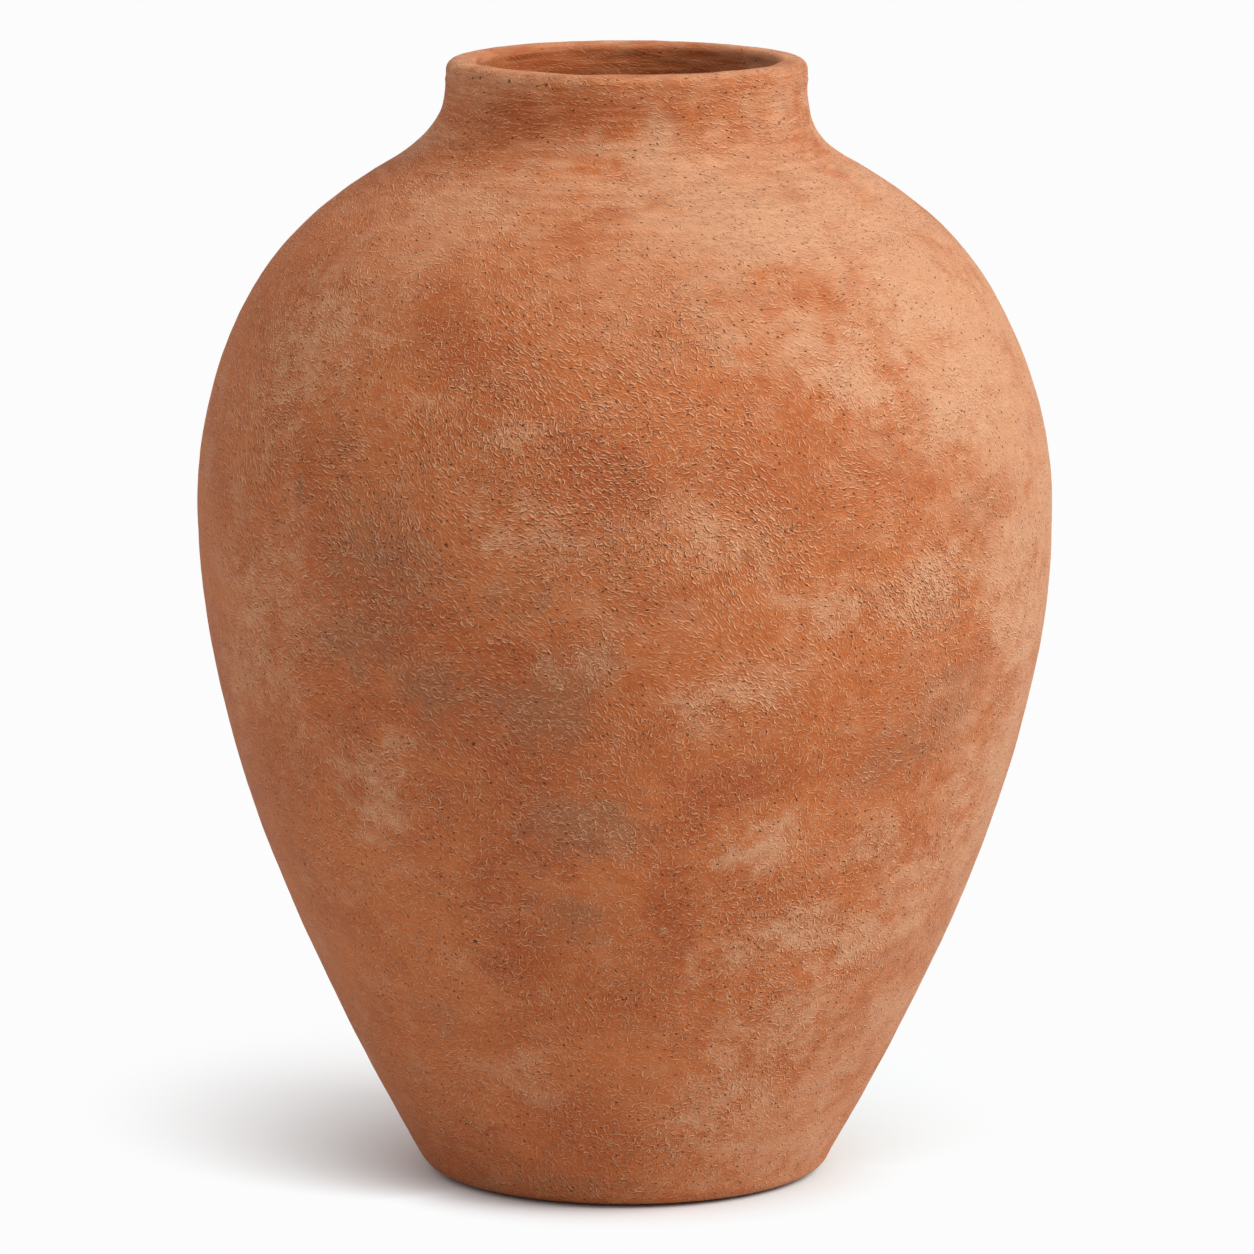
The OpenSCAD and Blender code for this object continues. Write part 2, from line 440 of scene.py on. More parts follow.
def rim_line():
    """The lip from its outer seam over the top and down to its inner seam."""
    outer_edge = arc_line((RIM_R - RIM_EDGE_R, TOP_Z - RIM_EDGE_R), RIM_EDGE_R, 0, 90)
    inner_edge = arc_line((MOUTH_R + MOUTH_EDGE_R, TOP_Z - MOUTH_EDGE_R), MOUTH_EDGE_R, 90, 180)
    side = wall_line(outer_r, RIM_SEAM_Z, LIP_Z)
    return np.vstack([side, outer_edge, inner_edge, [(MOUTH_R, RIM_SEAM_Z)]])


# The clay's whole skin in order, from the edge of the underside over the rim to the inner floor
SKIN_LEGS = [
    ("foot_edge", arc_line((FLAT_R, UNDER_Z + FOOT_EDGE_R), FOOT_EDGE_R, -90, -FOOT_FLARE), RIM_STEP),
    ("foot_out", wall_line(outer_r, FOOT_Z, BASE_SEAM_Z), NECK_STEP),
    ("lower_out", wall_line(outer_r, BASE_SEAM_Z, BELLY_SEAM_Z), BODY_STEP),
    ("belly_out", wall_line(outer_r, BELLY_SEAM_Z, SHOULDER_SEAM_Z), BODY_STEP),
    ("shoulder_out", wall_line(outer_r, SHOULDER_SEAM_Z, NECK_SEAM_Z), BODY_STEP),
    ("neck_out", wall_line(outer_r, NECK_SEAM_Z, RIM_SEAM_Z), NECK_STEP),
    ("rim", rim_line(), RIM_STEP),
    ("neck_in", wall_line(inner_r, RIM_SEAM_Z, NECK_SEAM_Z), NECK_STEP),
    ("shoulder_in", wall_line(inner_r, NECK_SEAM_Z, SHOULDER_SEAM_Z), HIDDEN_STEP),
    ("belly_in", wall_line(inner_r, SHOULDER_SEAM_Z, BELLY_SEAM_Z), HIDDEN_STEP),
    ("lower_in", wall_line(inner_r, BELLY_SEAM_Z, BASE_SEAM_Z), HIDDEN_STEP),
]

AZIMUTH = np.arange(SEGMENTS) * 2 * math.pi / SEGMENTS


def turned(line):
    """Points of a line turned round the axis: rows by segments by x, y and z, in millimetres."""
    r = line[:, :1]
    z = np.repeat(line[:, 1:], SEGMENTS, axis=1)
    return np.stack([r * np.sin(AZIMUTH), -r * np.cos(AZIMUTH), z], axis=-1)


def leaned(points):
    """The points shifted by the body's lean at their height."""
    moved = points.copy()
    moved[..., 0] += np.interp(points[..., 2], LEAN_HEIGHTS, LEAN_OFFSETS)
    return moved


def unit(vectors):
    return vectors / np.maximum(np.linalg.norm(vectors, axis=-1, keepdims=True), 1e-12)


def normals_of(points):
    """Outward directions of a turned surface whose rows run up the outside or down the inside."""
    around = np.roll(points, -1, axis=1) - np.roll(points, 1, axis=1)
    along = np.gradient(points, axis=0)
    return unit(np.cross(around, along))


def wobble(points, size, seed):
    """Smooth noise from -1 to 1 with features of about that size, one number or one for each axis."""
    places = (points / np.array(size) + seed * NOISE_SHIFT).reshape(-1, 3).tolist()
    return np.array([noise.noise(p) for p in places]).reshape(points.shape[:-1])


def relief(points):
    """Height of the hand-worked surface above the turned profile, in millimetres."""
    z = points[..., 2]
    radius = np.hypot(points[..., 0], points[..., 1])
    inside = radius < outer_r(z.ravel()).reshape(z.shape) - RIM_T * INSIDE_FROM
    uneven = SLOW_H * wobble(points, SLOW_SIZE, 1) + QUICK_H * wobble(points, QUICK_SIZE, 2)
    grain = COARSE_GRAIN_H * wobble(points, COARSE_GRAIN_SIZE, 3)
    grain = grain + FINE_GRAIN_H * wobble(points, FINE_GRAIN_SIZE, 4)
    rings = wobble(points, RING_SIZE, 5) * smooth(z, RINGS_FROM, RINGS_FULL)
    smears = wobble(points, SMEAR_SIZE, 6)
    broken = smooth(wobble(points, BEAD_SIZE, 7), -0.35, 0.35)
    bead = np.exp(-(((z - RIM_SEAM_Z) / BEAD_HALF) ** 2)) * broken
    near_foot = smooth(z, UNDER_Z, FOOT_Z)
    outside = uneven + grain + RING_H * rings + BEAD_H * bead
    return near_foot * np.where(inside, INSIDE_SHARE * uneven + SMEAR_H * smears + grain, outside)


def patch_weight(points, patches, seed, raggedness):
    """How much of the listed patches lies on each point, from 0 to 1, with ragged edges."""
    azimuth = np.degrees(np.arctan2(points[..., 0], -points[..., 1]))
    radius = np.hypot(points[..., 0], points[..., 1])
    ragged = 0.5 * wobble(points, EDGE_BROAD, seed) + 0.5 * wobble(points, EDGE_MIDDLE, seed + 1)
    ragged = raggedness * (ragged + 0.3 * wobble(points, EDGE_FINE, seed + 2))
    bare = np.ones(radius.shape)
    for where, height, half_w, half_h, strength in patches:
        across = np.radians((azimuth - where + 180) % 360 - 180) * radius / half_w
        up = (points[..., 2] - height) / half_h
        bare *= 1 - strength * smooth(np.hypot(across, up) + ragged, EDGE_OUT, EDGE_IN)
    return 1 - bare


def back_patches(count, seed):
    """Patches like the listed ones, strewn over the half that faces away."""
    draw = np.random.default_rng(seed)
    ranges = [BACK_AZIMUTHS, BACK_HEIGHTS, BACK_HALF_WIDTHS, BACK_HALF_HEIGHTS, BACK_STRENGTHS]
    return [tuple(draw.uniform(*ends) for ends in ranges) for _ in range(count)]


class Skin:
    """The clay's displaced surface, cut into the legs that the pieces take."""

    def __init__(self):
        lines = [resample(line, step) for _, line, step in SKIN_LEGS]
        self.span = {}
        start = 0
        for (name, _, _), line in zip(SKIN_LEGS, lines):
            self.span[name] = (start, start + len(line))
            start += len(line) - 1
        profile = np.vstack([lines[0]] + [line[1:] for line in lines[1:]])
        plain = turned(profile)
        self.points = leaned(plain + normals_of(plain) * relief(plain)[..., None])
        self.normals = normals_of(self.points)
        self.paint = np.stack([
            patch_weight(plain, patches + back_patches(BACK_PATCHES, seed), seed, raggedness)
            for patches, seed, raggedness in PAINT.values()
        ], axis=-1)

    def leg(self, *names):
        """One strip over neighbouring legs."""
        first, last = self.span[names[0]][0], self.span[names[-1]][1]
        return Strip(self.points[first:last], self.normals[first:last], self.paint[first:last])


class Strip:
    """Rows of points, with smooth normals or, without them, flat faces."""

    def __init__(self, points, normals=None, paint=None):
        self.points = points
        self.normals = normals
        self.paint = np.zeros(points.shape[:2] + (len(PAINT),)) if paint is None else paint


def key_line(z, width, depth):
    """V in the middle of the wall at a seam, from the outside in."""
    middle = (outer_r(z)[0] + inner_r(z)[0]) / 2
    return np.array([(middle + width / 2, z), (middle, z - depth), (middle - width / 2, z)])


def groove_line(z):
    return key_line(z, GROOVE_W, GROOVE_DEPTH)


def tongue_line(z):
    return key_line(z, TONGUE_W, TONGUE_DEPTH)


def land(first, line, last):
    """Flat strip that joins two rows of skin through the seam's V."""
    return Strip(np.concatenate([first[None], leaned(turned(line)), last[None]]))


class Solid:
    """Mesh data of one piece, gathered strip by strip."""

    def __init__(self):
        self.points = []
        self.faces = []
        self.normals = []
        self.paint = []

    def ring(self, strips, closed):
        """Adds strips that follow each other round a section; returns the end rows' indices."""
        base = len(self.points)
        rows = [strip.points if i == 0 else strip.points[1:] for i, strip in enumerate(strips)]
        points = np.concatenate(rows)
        paint = np.concatenate([s.paint if i == 0 else s.paint[1:] for i, s in enumerate(strips)])
        count = len(points) - (1 if closed else 0)
        self.points += points[:count].reshape(-1, 3).tolist()
        self.paint += paint[:count].reshape(-1, len(PAINT)).tolist()
        row = 0
        for strip in strips:
            for i in range(len(strip.points) - 1):
                self.band(base, row % count, (row + 1) % count, strip, i)
                row += 1
        first = [base + j for j in range(SEGMENTS)]
        last = [base + (count - 1) * SEGMENTS + j for j in range(SEGMENTS)]
        return first, last

    def band(self, base, low, high, strip, i):
        """One row of quads between two rows of points."""
        here = np.arange(SEGMENTS)
        there = np.roll(here, -1)
        a, b = base + low * SEGMENTS, base + high * SEGMENTS
        self.faces += np.column_stack([a + here, a + there, b + there, b + here]).tolist()
        if strip.normals is None:
            p, q = strip.points[i], strip.points[i + 1]
            flat = unit(np.cross(p[there] - q[here], q[there] - p[here]))
            corners = np.stack([flat] * 4, axis=1)
        else:
            n, m = strip.normals[i], strip.normals[i + 1]
            corners = np.stack([n[here], n[there], m[there], m[here]], axis=1)
        self.normals += corners.reshape(-1, 3).tolist()

    def loose(self, points):
        """Adds points that no strip holds; returns their indices."""
        base = len(self.points)
        self.points += [list(p) for p in points]
        self.paint += [[0.0] * len(PAINT)] * len(points)
        return list(range(base, base + len(points)))

    def flat(self, faces, normal):
        """Adds flat faces that share one normal."""
        for face in faces:
            self.faces.append(list(face))
            self.normals += [list(normal)] * len(face)

    def wall(self, low, high, normals):
        """A ring of quads between two closed loops of the same count."""
        count = len(low)
        for j in range(count):
            k = (j + 1) % count
            self.faces.append([low[j], low[k], high[k], high[j]])
            self.normals += [normals[j], normals[k], normals[k], normals[j]]

    def piece(self, node, slot, material):
        """The finished object, standing for its CAD node."""
        mesh = bpy.data.meshes.new(node)
        mesh.from_pydata((np.array(self.points) * MM).tolist(), [], self.faces)
        for name, values in zip(PAINT, np.array(self.paint).T):
            mesh.attributes.new(name, "FLOAT", "POINT").data.foreach_set("value", values.tolist())
        mesh.polygons.foreach_set("use_smooth", [True] * len(mesh.polygons))
        mesh.normals_split_custom_set(self.normals)
        mesh.materials.append(material)
        made = bpy.data.objects.new("clay_" + node if slot == "terracotta" else "made_" + node, mesh)
        bpy.context.scene.collection.objects.link(made)
        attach(made, "root")
        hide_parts(node)
        return made


class Shader:
    """Node tree of one material; each call adds a node and returns its output."""

    def __init__(self, name):
        self.material = bpy.data.materials.new(name)
        self.material.use_nodes = True
        self.tree = self.material.node_tree
        self.surface = self.tree.nodes["Principled BSDF"]

    def set(self, socket, value):
        if isinstance(value, bpy.types.NodeSocket):
            self.tree.links.new(value, socket)
        else:
            socket.default_value = value

    def node(self, kind, inputs, output=0, **settings):
        made = self.tree.nodes.new("ShaderNode" + kind)
        for name, value in settings.items():
            setattr(made, name, value)
        for key, value in inputs.items():
            self.set(made.inputs[key], value)
        return made.outputs[output]

    def place(self):
        return self.node("TexCoord", {}, "Object")

    def attribute(self, name):
        return self.node("Attribute", {}, "Fac", attribute_name=name)

    def math(self, operation, *values):
        return self.node("Math", dict(enumerate(values)), operation=operation)

    def vector(self, operation, *values):
        return self.node("VectorMath", dict(enumerate(values)), operation=operation)

    def length(self, vector):
        return self.node("VectorMath", {0: vector}, "Value", operation="LENGTH")

    def dot(self, a, b):
        return self.node("VectorMath", {0: a, 1: b}, "Value", operation="DOT_PRODUCT")

    def part(self, vector, axis):
        return self.node("SeparateXYZ", {0: vector}, axis)

    def noise(self, place, size, detail=2.0, roughness=0.5):
        """Noise from 0 to 1 with features of about that size in millimetres."""
        inputs = {"Vector": place, "Scale": 1 / (size * MM), "Detail": detail, "Roughness": roughness}
        return self.node("TexNoise", inputs, normalize=True)

    def ramp(self, value, low, high, to_low=0.0, to_high=1.0):
        """An eased step from low to high."""
        inputs = {"Value": value, "From Min": low, "From Max": high, "To Min": to_low, "To Max": to_high}
        return self.node("MapRange", inputs, interpolation_type="SMOOTHSTEP")

    def mix(self, share, a, b):
        return self.node("Mix", {0: share, 6: a, 7: b}, 2, data_type="RGBA", clamp_factor=True)

    def bump(self, height, depth, strength=1.0, normal=None):
        """Normal of a surface whose height, from 0 to 1, stands for a depth in millimetres."""
        inputs = {"Height": height, "Distance": depth * MM, "Strength": strength}
        if normal is not None:
            inputs["Normal"] = normal
        return self.node("Bump", inputs)

    def finish(self, colour, roughness, normal):
        self.set(self.surface.inputs["Base Color"], colour)
        self.set(self.surface.inputs["Roughness"], roughness)
        self.set(self.surface.inputs["Normal"], normal)
        return self.material


# Clay colours, linear; the crest, groove and hole colours are painted highlight and painted shade
RUST = (0.35, 0.071, 0.013, 1)
DEEP = (0.40, 0.094, 0.018, 1)
ORANGE = (0.505, 0.14, 0.036, 1)
PALE = (0.58, 0.308, 0.172, 1)
GREY = (0.285, 0.098, 0.04, 1)
CREST_HIGHLIGHT = (0.86, 0.43, 0.228, 1)
GROOVE_SHADE = (0.19, 0.042, 0.012, 1)
# Painted shade inside pits and pinholes
HOLE_SHADE = (0.1, 0.023, 0.007, 1)


# Largest share of each colour over the ones before it
WISP_SHARE = 0.32
HAZE_AND_SHEEN_SHARE = 0.75
RUST_SHARE = 0.95
SMUDGE_SHARE = 0.85
BLOOM_AND_HIGHLIGHT_SHARE = 0.9
THROAT_SHARE = 0.45
GROOVE_SHADE_SHARE = 0.6
HOLE_SHADE_SHARE = 0.85

# Cells of the three sizes of chaff, of curled marks, brushing, pits and pinholes, in millimetres
CHAFF_CELLS = (2.3, 3.0, 4.0)
CURL_CELL = 7.5
BRUSH_CELL = 13
PIT_CELL = 5.5
PINHOLE_CELL = 13

# Seeds that keep the kinds of cells apart; the chaff takes 0 to 2
CURL_SEED = 3
BRUSH_SEED = 5
PIT_SEED = 6

# Sizes of the marks in millimetres; those of the chaff are shares of its cell
CHAFF_L = 0.55
CHAFF_W = 0.13
CHAFF_GROOVE = 1.4
CURL_W = 0.45
CURL_R = 0.9
CURL_MORE_R = 1.5
CURL_OPEN = (-0.8, 0.4)
BRUSH_W = 1.0
BRUSH_STRETCH = 0.15
PIT_L = 1.0
PIT_W = 0.5
PINHOLE_R = 1.4
PINHOLE_DRIFT = 1.6
GRAIN_SIZE = 0.7
STREAK_SIZE = 2.4

# How strongly marks bend, and how far their angles differ, in radians
MARK_BEND = 480
CURL_SPREAD = 6.3
BRUSH_SPREAD = 0.3
PIT_SPREAD = 1.4

# Weights of the marks beside the chaff, and the share of cells that have one
CURL_WEIGHT = 0.8
BRUSH_WEIGHT = 0.9
GRAIN_WEIGHT = 0.6
CURL_SHARE = 0.4
PINHOLE_SHARE = 0.06

# Sizes of the noise that varies the clay from place to place, in millimetres
SPECK_SIZE = 10
BROAD_SIZE = 80
WISP_SIZE = 30
SWIRL_SIZE = 60
LOOSE_SIZE = 45
ROUGH_SIZE = 34
CROWD_SIZE = 27

# Heights in metres where the body's look gives way to the neck's, and where the looser marks end
NECK_FROM = 0.49
NECK_FULL = 0.55
STREAKS_FULL = 0.57
LOOSE_FROM = 0.2
LOOSE_END = 0.33

# The throat's looks begin and are full this far outside the mouth, in millimetres
THROAT_FROM = 8
THROAT_FULL = 1

# Depth of marks and specks in millimetres, a hole's depth as a number of marks, and the clay's sheen
MARK_DEPTH = 0.25
SPECK_DEPTH = 0.6
HOLE_DEPTH = 2.0
SHEEN = 0.22


def mark_axes(shader, angle):
    """Directions along and across a mark that lies on the surface at an angle to the level."""
    normal = shader.node("NewGeometry", {}, "Normal")
    around = shader.vector("NORMALIZE", shader.vector("CROSS_PRODUCT", (0, 0, 1), shader.place()))
    along = shader.node("VectorRotate", {"Vector": around, "Axis": normal, "Angle": angle})
    return along, shader.vector("CROSS_PRODUCT", normal, along)


def cell_frame(shader, place, lean, spread, cell_size, seed, bend=MARK_BEND):
    """Cells strewn over the clay: distance along and across a cell's own mark, and its three lots."""
    place = shader.vector("ADD", place, tuple(seed * step for step in CELL_SHIFT))
    cell = shader.node("TexVoronoi", {"Vector": place, "Scale": 1 / (cell_size * MM)}, "Position")
    lots = shader.node("SeparateColor", {0: cell.node.outputs["Color"]}).node.outputs
    either_way = shader.math("SUBTRACT", lots[0], 0.5)
    along, across = mark_axes(shader, shader.math("MULTIPLY_ADD", either_way, spread, lean))
    offset = shader.vector("SUBTRACT", place, cell)
    u = shader.dot(offset, along)
    v = shader.dot(offset, across)
    turn = shader.math("MULTIPLY_ADD", lots[1], 2.0, -1.0)
    curl = shader.math("MULTIPLY", shader.math("ABSOLUTE", turn), shader.math("MULTIPLY", turn, bend))
    curl = shader.math("MULTIPLY", curl, spread)
    v = shader.math("MULTIPLY_ADD", curl, shader.math("MULTIPLY", u, u), v)
    return u, v, lots


def chaff(shader, cells, cell_size):
    """Short curved marks, one to a cell: 1 on a mark's crest, below 0 in the groove beside it."""
    u, v, lots = cells
    length = CHAFF_L * cell_size * MM
    width = CHAFF_W * cell_size * MM
    crest = shader.ramp(shader.math("ABSOLUTE", v), width, 0.0)
    beside = shader.math("ADD", v, CHAFF_GROOVE * width)
    groove = shader.ramp(shader.math("ABSOLUTE", beside), width, 0.0)
    mark = shader.math("MULTIPLY_ADD", groove, -0.5, crest)
    window = shader.ramp(shader.math("ABSOLUTE", u), length, 0.5 * length)
    strength = shader.math("MULTIPLY_ADD", shader.math("POWER", lots[2], 1.8), 1.4, 0.15)
    return shader.math("MULTIPLY", mark, shader.math("MULTIPLY", window, strength))


def hooks(shader, cells):
    """Marks curled into open rings of several sizes, 1 on the crest; a share of the cells has one."""
    u, v, lots = cells
    far = shader.length(shader.node("CombineXYZ", {0: u, 1: v}))
    radius = shader.math("MULTIPLY_ADD", lots[2], CURL_MORE_R * MM, CURL_R * MM)
    off = shader.math("ABSOLUTE", shader.math("SUBTRACT", far, radius))
    opening = shader.ramp(u, CURL_OPEN[0] * MM, CURL_OPEN[1] * MM)
    ring = shader.math("MULTIPLY", shader.ramp(off, CURL_W * MM, 0.0), opening)
    return shader.math("MULTIPLY", ring, shader.math("LESS_THAN", lots[1], CURL_SHARE))


def brushing(shader, cells):
    """Fine streaks that the wet hand left, from -0.5 to 0.5."""
    u, v, lots = cells
    spot = shader.node("CombineXYZ", {0: shader.math("MULTIPLY", u, BRUSH_STRETCH), 1: v, 2: lots[0]})
    return shader.math("SUBTRACT", shader.noise(spot, BRUSH_W, 2.0), 0.5)


def pits(shader, cells, share):
    """Small long pits of several sizes, 1 inside; a share of the cells has one."""
    u, v, lots = cells
    along = shader.math("DIVIDE", u, PIT_L * MM)
    across = shader.math("DIVIDE", v, PIT_W * MM)
    far = shader.length(shader.node("CombineXYZ", {0: along, 1: across}))
    far = shader.math("DIVIDE", far, shader.math("MULTIPLY_ADD", lots[2], 0.7, 0.5))
    return shader.math("MULTIPLY", shader.ramp(far, 1.0, 0.4), shader.math("LESS_THAN", lots[1], share))


def pinholes(shader, place):
    """Uneven round holes, 1 inside; a share of the cells has one."""
    scale = 1 / (PINHOLE_DRIFT * MM)
    drift = shader.node("TexNoise", {"Vector": place, "Scale": scale, "Detail": 1.0}, "Color")
    warped = shader.vector("MULTIPLY_ADD", drift, (PINHOLE_DRIFT * MM,) * 3, place)
    cell = shader.node("TexVoronoi", {"Vector": warped, "Scale": 1 / (PINHOLE_CELL * MM)}, "Distance")
    lot = shader.node("SeparateColor", {0: cell.node.outputs["Color"]})
    near = shader.ramp(cell, PINHOLE_R / PINHOLE_CELL, 0.4 * PINHOLE_R / PINHOLE_CELL)
    return shader.math("MULTIPLY", near, shader.math("LESS_THAN", lot, PINHOLE_SHARE))


def clay_body(shader, place, speck, marks, body_only):
    """Colour before the marks: rust to orange, haze with painted sheen, smudges, and bloom with painted
    highlight that holds to the crests.
    """
    flat = shader.vector("MULTIPLY", place, (1, 1, 1.5))
    broad = shader.noise(flat, BROAD_SIZE, 5.0, 0.6)
    wisps = shader.noise(flat, WISP_SIZE, 6.0, 0.62)
    tone = shader.math("MULTIPLY_ADD", speck, 0.6, shader.math("MULTIPLY", broad, 0.6))
    body = shader.mix(shader.ramp(tone, 0.44, 0.74), DEEP, ORANGE)
    body = shader.mix(shader.ramp(wisps, 0.5, 0.74, 0.0, WISP_SHARE), body, PALE)
    uneven = shader.math("SUBTRACT", speck, 0.5)
    uneven = shader.math("MULTIPLY", uneven, shader.math("MULTIPLY_ADD", body_only, 0.5, 0.5))
    # Haze: partly pale bloom, mostly painted sheen and highlight where the light falls on the right, the
    # tops and the edges
    haze_and_sheen = shader.math("MULTIPLY", shader.attribute("haze_and_sheen"), shader.ramp(broad, 0.35, 0.65, 0.6, 1.3))
    haze_and_sheen = shader.math("MULTIPLY_ADD", uneven, 0.4, haze_and_sheen)
    body = shader.mix(shader.ramp(haze_and_sheen, 0.0, 1.0, 0.0, HAZE_AND_SHEEN_SHARE), body, PALE)
    darker = shader.math("MULTIPLY_ADD", shader.attribute("haze_and_sheen"), -0.22, uneven)
    rust = shader.math("MULTIPLY_ADD", darker, 2.0, shader.attribute("rust"))
    body = shader.mix(shader.ramp(rust, 0.05, 1.0, 0.0, RUST_SHARE), body, RUST)
    smudge = shader.math("MULTIPLY_ADD", darker, 1.8, shader.attribute("smudge"))
    body = shader.mix(shader.ramp(smudge, 0.05, 1.0, 0.0, SMUDGE_SHARE), body, GREY)
    # Bloom, partly painted highlight on the lit right side, which also holds to the crests
    bloom_and_highlight = shader.math("MULTIPLY_ADD", uneven, 2.0, shader.attribute("bloom_and_highlight"))
    bloom_and_highlight = shader.math("MULTIPLY_ADD", marks, 0.45, bloom_and_highlight)
    return shader.mix(shader.ramp(bloom_and_highlight, 0.05, 1.2, 0.0, BLOOM_AND_HIGHLIGHT_SHARE), body, PALE)


def throwing_streaks(shader, place):
    """Level streaks, from -0.5 to 0.5, strongest on the neck."""
    stretched = shader.vector("MULTIPLY", place, (0.09, 0.09, 1))
    streak = shader.ramp(shader.noise(stretched, STREAK_SIZE, 3.0), 0.35, 0.65, -0.5, 0.5)
    height = shader.part(place, "Z")
    return shader.math("MULTIPLY", streak, shader.ramp(height, NECK_FROM, STREAKS_FULL, 0.07, 0.3))


def mark_lean(shader, place, body_only):
    """Main angle of the marks, which swings from place to place and is nearer level on the neck."""
    swirl = shader.math("MULTIPLY_ADD", shader.noise(place, SWIRL_SIZE, 1.0), 2.6, -1.9)
    return shader.math("MULTIPLY", swirl, shader.math("MULTIPLY_ADD", body_only, 0.5, 0.5))


def mark_spread(shader, place, body_only):
    """How far the angles of neighbouring marks differ: more near the foot, less on the neck."""
    loose = shader.ramp(shader.noise(place, LOOSE_SIZE, 1.0), 0.35, 0.65, 0.6, 2.2)
    low = shader.ramp(shader.part(place, "Z"), LOOSE_FROM, LOOSE_END, 1.0, 0.0)
    loose = shader.math("ADD", loose, low)
    return shader.math("MULTIPLY", loose, shader.math("MULTIPLY_ADD", body_only, 0.3, 0.7))


def clay_marks(shader, place, lean, spread):
    """All the marks on the clay: chaff, curled marks, brushing and grain."""
    fine, middle, coarse = (
        chaff(shader, cell_frame(shader, place, lean, spread, size, seed), size)
        for seed, size in enumerate(CHAFF_CELLS)
    )
    marks = shader.math("ADD", fine, shader.math("ADD", middle, coarse))
    curled = hooks(shader, cell_frame(shader, place, lean, CURL_SPREAD, CURL_CELL, CURL_SEED, 0.0))
    marks = shader.math("MULTIPLY_ADD", curled, CURL_WEIGHT, marks)
    streaks = brushing(shader, cell_frame(shader, place, lean, BRUSH_SPREAD, BRUSH_CELL, BRUSH_SEED))
    marks = shader.math("MULTIPLY_ADD", streaks, BRUSH_WEIGHT, marks)
    grain = shader.math("SUBTRACT", shader.noise(place, GRAIN_SIZE, 1.0), 0.5)
    return shader.math("MULTIPLY_ADD", grain, GRAIN_WEIGHT, marks)


def mark_strength(shader, place, body_only, throat):
    """How strong the marks are: more in the rough patches, less in the haze and painted sheen of the lit
    side, and in the throat.
    """
    rough = shader.ramp(shader.noise(place, ROUGH_SIZE, 2.0), 0.3, 0.7, 0.7, 1.05)
    rough = shader.math("MULTIPLY", rough, shader.ramp(shader.attribute("rough"), 0.0, 1.0, 1.0, 1.9))
    lit_side = shader.math("MULTIPLY", shader.attribute("haze_and_sheen"), body_only)
    rough = shader.math("MULTIPLY", rough, shader.ramp(lit_side, 0.3, 0.9, 1.0, 0.75))
    return shader.math("MULTIPLY", rough, shader.math("MULTIPLY_ADD", throat, -0.6, 1.0))


def marked(shader, body, marks, streak, body_only):
    """The clay's colour with painted highlight on the crests and painted shade in the grooves, of the
    streaks and then of the marks.
    """
    # Pale and dark level streaks, in the crest's and the groove's colours
    body = shader.mix(shader.math("MAXIMUM", streak, 0.0), body, CREST_HIGHLIGHT)
    body = shader.mix(shader.math("MAXIMUM", shader.math("MULTIPLY", streak, -1.0), 0.0), body, GROOVE_SHADE)
    # Painted highlight on the crests and painted shade in the grooves, over the bumps' own shading
    paler = shader.math("MULTIPLY_ADD", shader.attribute("bloom_and_highlight"), 0.3, 0.58)
    paler = shader.math("MULTIPLY", paler, shader.math("MULTIPLY_ADD", body_only, 0.15, 0.85))
    body = shader.mix(shader.math("MULTIPLY", marks, paler), body, CREST_HIGHLIGHT)
    return shader.mix(shader.math("MULTIPLY", marks, -GROOVE_SHADE_SHARE), body, GROOVE_SHADE)


def clay_holes(shader, place, lean, rough):
    """Pits, which crowd in the rough places, and pinholes; 1 inside."""
    crowd = shader.ramp(shader.noise(place, CROWD_SIZE, 2.0), 0.35, 0.7, 0.25, 0.6)
    cells = cell_frame(shader, place, lean, PIT_SPREAD, PIT_CELL, PIT_SEED)
    small = pits(shader, cells, shader.math("MULTIPLY", crowd, rough))
    return shader.math("MAXIMUM", small, pinholes(shader, place))


def terracotta():
    """Unglazed clay: rust to orange, with pale bloom and painted highlight, haze and painted sheen,
    smudges, marks with painted highlight on crests and painted shade in grooves, and pits and pinholes
    painted dark as shade.
    """
    shader = Shader("terracotta")
    place = shader.place()
    speck = shader.noise(place, SPECK_SIZE, 5.0, 0.65)
    body_only = shader.ramp(shader.part(place, "Z"), NECK_FROM, NECK_FULL, 1.0, 0.0)
    from_axis = shader.length(shader.vector("MULTIPLY", place, (1, 1, 0)))
    throat = shader.ramp(from_axis, (MOUTH_R + THROAT_FROM) * MM, (MOUTH_R + THROAT_FULL) * MM)
    lean = mark_lean(shader, place, body_only)
    spread = mark_spread(shader, place, body_only)
    rough = mark_strength(shader, place, body_only, throat)
    marks = shader.math("MULTIPLY", rough, clay_marks(shader, place, lean, spread))
    body = clay_body(shader, place, speck, marks, body_only)
    body = shader.mix(shader.math("MULTIPLY", throat, THROAT_SHARE), body, RUST)
    body = marked(shader, body, marks, throwing_streaks(shader, place), body_only)
    holes = clay_holes(shader, place, lean, rough)
    # Painted shade: pits and pinholes darkened nearly to black inside
    body = shader.mix(shader.math("MULTIPLY", holes, HOLE_SHADE_SHARE), body, HOLE_SHADE)
    lift = shader.math("MULTIPLY_ADD", holes, -HOLE_DEPTH, marks)
    bumped = shader.bump(lift, MARK_DEPTH, 1.0, shader.bump(speck, SPECK_DEPTH))
    shader.surface.inputs["Specular IOR Level"].default_value = SHEEN
    return shader.finish(body, shader.ramp(speck, 0.3, 0.7, 0.6, 0.8), bumped)


